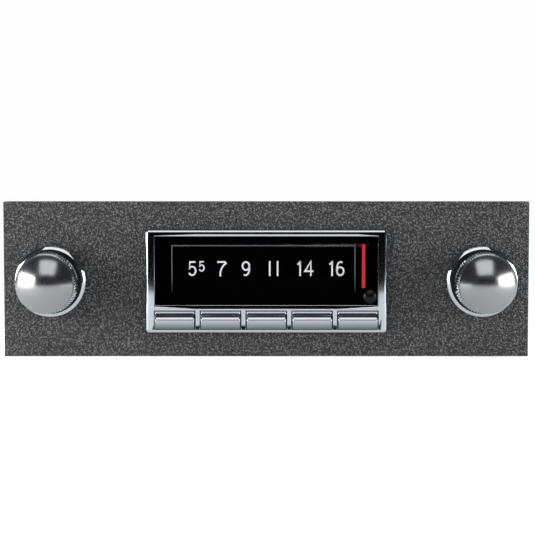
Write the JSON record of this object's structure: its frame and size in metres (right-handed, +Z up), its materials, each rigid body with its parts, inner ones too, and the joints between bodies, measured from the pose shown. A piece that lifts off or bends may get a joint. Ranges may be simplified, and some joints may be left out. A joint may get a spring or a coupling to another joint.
{
  "type": "car radio",
  "caption": "two-shaft car radio in a grained fascia panel, with a chrome bezel, lit dial, moving pointer, preset pushbuttons and domed knobs",
  "frame": {"origin": "centre of the bounding box in X and Y, on the surface that the radio stands on", "axes": "+X to the right seen from the front, +Y to the rear (the front faces -Y), +Z up"},
  "size_m": [0.22, 0.1696, 0.065],
  "materials": {
    "panel_grain": "grained vinyl-textured black panel",
    "bezel_chrome": "bright chrome plating",
    "lens_clear": "clear polished acrylic",
    "dial_black": "black dial",
    "jewel_dark": "polished dark jewel",
    "button_chrome": "bright chrome plating on plastic",
    "slide_steel": "zinc-plated strip",
    "spring_steel": "music wire",
    "knob_chrome": "satin-bright chrome",
    "ring_chrome": "bright chrome with a black web",
    "shaft_steel": "turned steel",
    "sleeve_brass": "turned brass",
    "nut_nickel": "nickel plating",
    "control_can": "pressed aluminium can",
    "chassis_zinc": "zinc-plated sheet",
    "cover_zinc": "zinc-plated sheet",
    "screw_zinc": "zinc-plated screws",
    "tuner_steel": "zinc-plated strip",
    "gear_brass": "hobbed brass",
    "gear_nylon": "natural nylon",
    "pointer_red": "red enamel",
    "ferrite": "sintered ferrite",
    "former_plastic": "moulded former",
    "winding_copper": "enamelled copper wire",
    "lamp_glass": "clear lamp glass",
    "socket_steel": "nickel-plated strip",
    "board_laminate": "phenolic laminate",
    "can_aluminium": "drawn aluminium",
    "component_body": "moulded and lacquered bodies",
    "transformer_iron": "varnished laminations",
    "coil_paper": "waxed paper wrap",
    "sink_black": "black anodised",
    "transistor_nickel": "nickel-plated can",
    "connector_black": "black phenolic",
    "socket_nickel": "nickel-plated brass",
    "bracket_zinc": "yellow-passivated zinc"
  },
  "bodies": {
    "case": {"dash_panel": "panel_grain", "bezel": "bezel_chrome", "lens": "lens_clear", "pilot_jewel": "jewel_dark", "dial_plate": "dial_black", "return_springs": "spring_steel", "bushings": "nut_nickel", "bushing_nuts": "nut_nickel", "tone_control": "control_can", "fader_control": "control_can", "volume_control": "control_can", "tuner_rods": "shaft_steel", "coil_former": "former_plastic", "coil_windings": "winding_copper", "tuner_front_plate": "tuner_steel", "tuner_rear_plate": "tuner_steel", "tuner_spacers": "tuner_steel", "lamp_socket": "socket_steel", "dial_lamp": "lamp_glass", "chassis_frame": "chassis_zinc", "top_cover": "cover_zinc", "bottom_cover": "cover_zinc", "case_screws": "screw_zinc", "support_bracket": "bracket_zinc", "heat_sink": "sink_black", "output_transistor": "transistor_nickel", "antenna_socket": "socket_nickel", "power_connector": "connector_black", "circuit_board": "board_laminate", "if_cans": "can_aluminium", "board_components": "component_body", "output_transformer": "transformer_iron", "transformer_coil": "coil_paper"},
    "volume_knob_body": {"volume_knob": "knob_chrome", "volume_shaft": "shaft_steel"},
    "tone_ring_body": {"tone_ring": "ring_chrome", "tone_sleeve": "sleeve_brass"},
    "tuning_knob_body": {"tuning_knob": "knob_chrome", "tuning_shaft": "shaft_steel"},
    "fader_ring_body": {"fader_ring": "ring_chrome", "fader_sleeve": "sleeve_brass"},
    "drive_gear_body": {"drive_gear": "gear_brass"},
    "idler_gear_1_body": {"idler_gear_1": "gear_nylon"},
    "idler_gear_2_body": {"idler_gear_2": "gear_nylon"},
    "pointer_gear_body": {"pointer_gear": "gear_nylon"},
    "pointer_body": {"pointer": "pointer_red", "pointer_rack": "gear_nylon"},
    "core_carriage_body": {"core_carriage": "gear_nylon", "ferrite_cores": "ferrite"},
    "treadle_body": {"treadle_bar": "slide_steel"},
    "button_1_body": {"button_1": "button_chrome", "preset_slide_1": "slide_steel"},
    "button_2_body": {"button_2": "button_chrome", "preset_slide_2": "slide_steel"},
    "button_3_body": {"button_3": "button_chrome", "preset_slide_3": "slide_steel"},
    "button_4_body": {"button_4": "button_chrome", "preset_slide_4": "slide_steel"},
    "button_5_body": {"button_5": "button_chrome", "preset_slide_5": "slide_steel"}
  },
  "joints": [
    {"name": "volume_turn", "type": "hinge", "parent": "case", "child": "volume_knob_body", "pos_m": [-0.09, -0.05915, 0.0317], "axis": [0, 1, 0], "range_deg": [0, 290]},
    {"name": "tone_turn", "type": "hinge", "parent": "case", "child": "tone_ring_body", "pos_m": [-0.09, -0.05915, 0.0317], "axis": [0, 1, 0], "range_deg": [-135, 135]},
    {"name": "tuning_turn", "type": "hinge", "parent": "case", "child": "tuning_knob_body", "pos_m": [0.09, -0.05915, 0.0317], "axis": [0, 1, 0], "range_deg": [-1884.39, 0]},
    {"name": "fader_turn", "type": "hinge", "parent": "case", "child": "fader_ring_body", "pos_m": [0.09, -0.05915, 0.0317], "axis": [0, 1, 0], "range_deg": [-135, 135]},
    {"name": "drive_gear_turn", "type": "hinge", "parent": "case", "child": "drive_gear_body", "pos_m": [0.0675, -0.05915, 0.0317], "axis": [0, 1, 0], "range_deg": [0, 471.11]},
    {"name": "idler_gear_1_turn", "type": "hinge", "parent": "case", "child": "idler_gear_1_body", "pos_m": [0.0525, -0.05915, 0.0317], "axis": [0, 1, 0], "range_deg": [-706.66, 0]},
    {"name": "idler_gear_2_turn", "type": "hinge", "parent": "case", "child": "idler_gear_2_body", "pos_m": [0.0405, -0.05915, 0.0317], "axis": [0, 1, 0], "range_deg": [0, 706.66]},
    {"name": "pointer_gear_turn", "type": "hinge", "parent": "case", "child": "pointer_gear_body", "pos_m": [0.0207, -0.05915, 0.0317], "axis": [0, 1, 0], "range_deg": [-307.25, 0]},
    {"name": "pointer_slide", "type": "slide", "parent": "case", "child": "pointer_body", "axis": [1, 0, 0], "range_m": [-0.074, 0]},
    {"name": "core_slide", "type": "slide", "parent": "case", "child": "core_carriage_body", "axis": [1, 0, 0], "range_m": [-0.02574, 0]},
    {"name": "treadle_rock", "type": "hinge", "parent": "case", "child": "treadle_body", "pos_m": [0, -0.00315, 0.0262], "axis": [1, 0, 0], "range_deg": [-18.01, 0]},
    {"name": "button_1_press", "type": "slide", "parent": "case", "child": "button_1_body", "axis": [0, 1, 0], "range_m": [0, 0.0068], "stiffness_N_per_m": 400, "springref_m": -0.002},
    {"name": "button_2_press", "type": "slide", "parent": "case", "child": "button_2_body", "axis": [0, 1, 0], "range_m": [0, 0.0068], "stiffness_N_per_m": 400, "springref_m": -0.002},
    {"name": "button_3_press", "type": "slide", "parent": "case", "child": "button_3_body", "axis": [0, 1, 0], "range_m": [0, 0.0068], "stiffness_N_per_m": 400, "springref_m": -0.002},
    {"name": "button_4_press", "type": "slide", "parent": "case", "child": "button_4_body", "axis": [0, 1, 0], "range_m": [0, 0.0068], "stiffness_N_per_m": 400, "springref_m": -0.002},
    {"name": "button_5_press", "type": "slide", "parent": "case", "child": "button_5_body", "axis": [0, 1, 0], "range_m": [0, 0.0068], "stiffness_N_per_m": 400, "springref_m": -0.002}
  ],
  "couplings": [
    {"joint": "drive_gear_turn", "follows": "tuning_turn", "ratio": -0.25},
    {"joint": "idler_gear_1_turn", "follows": "tuning_turn", "ratio": 0.375},
    {"joint": "idler_gear_2_turn", "follows": "tuning_turn", "ratio": -0.375},
    {"joint": "pointer_gear_turn", "follows": "tuning_turn", "ratio": 0.16304},
    {"joint": "pointer_slide", "follows": "tuning_turn", "m_per_rad": 0.00225},
    {"joint": "core_slide", "follows": "tuning_turn", "m_per_rad": 0.00078261},
    {"joint": "treadle_rock", "follows": "tuning_turn", "ratio": 0.0095521}
  ]
}
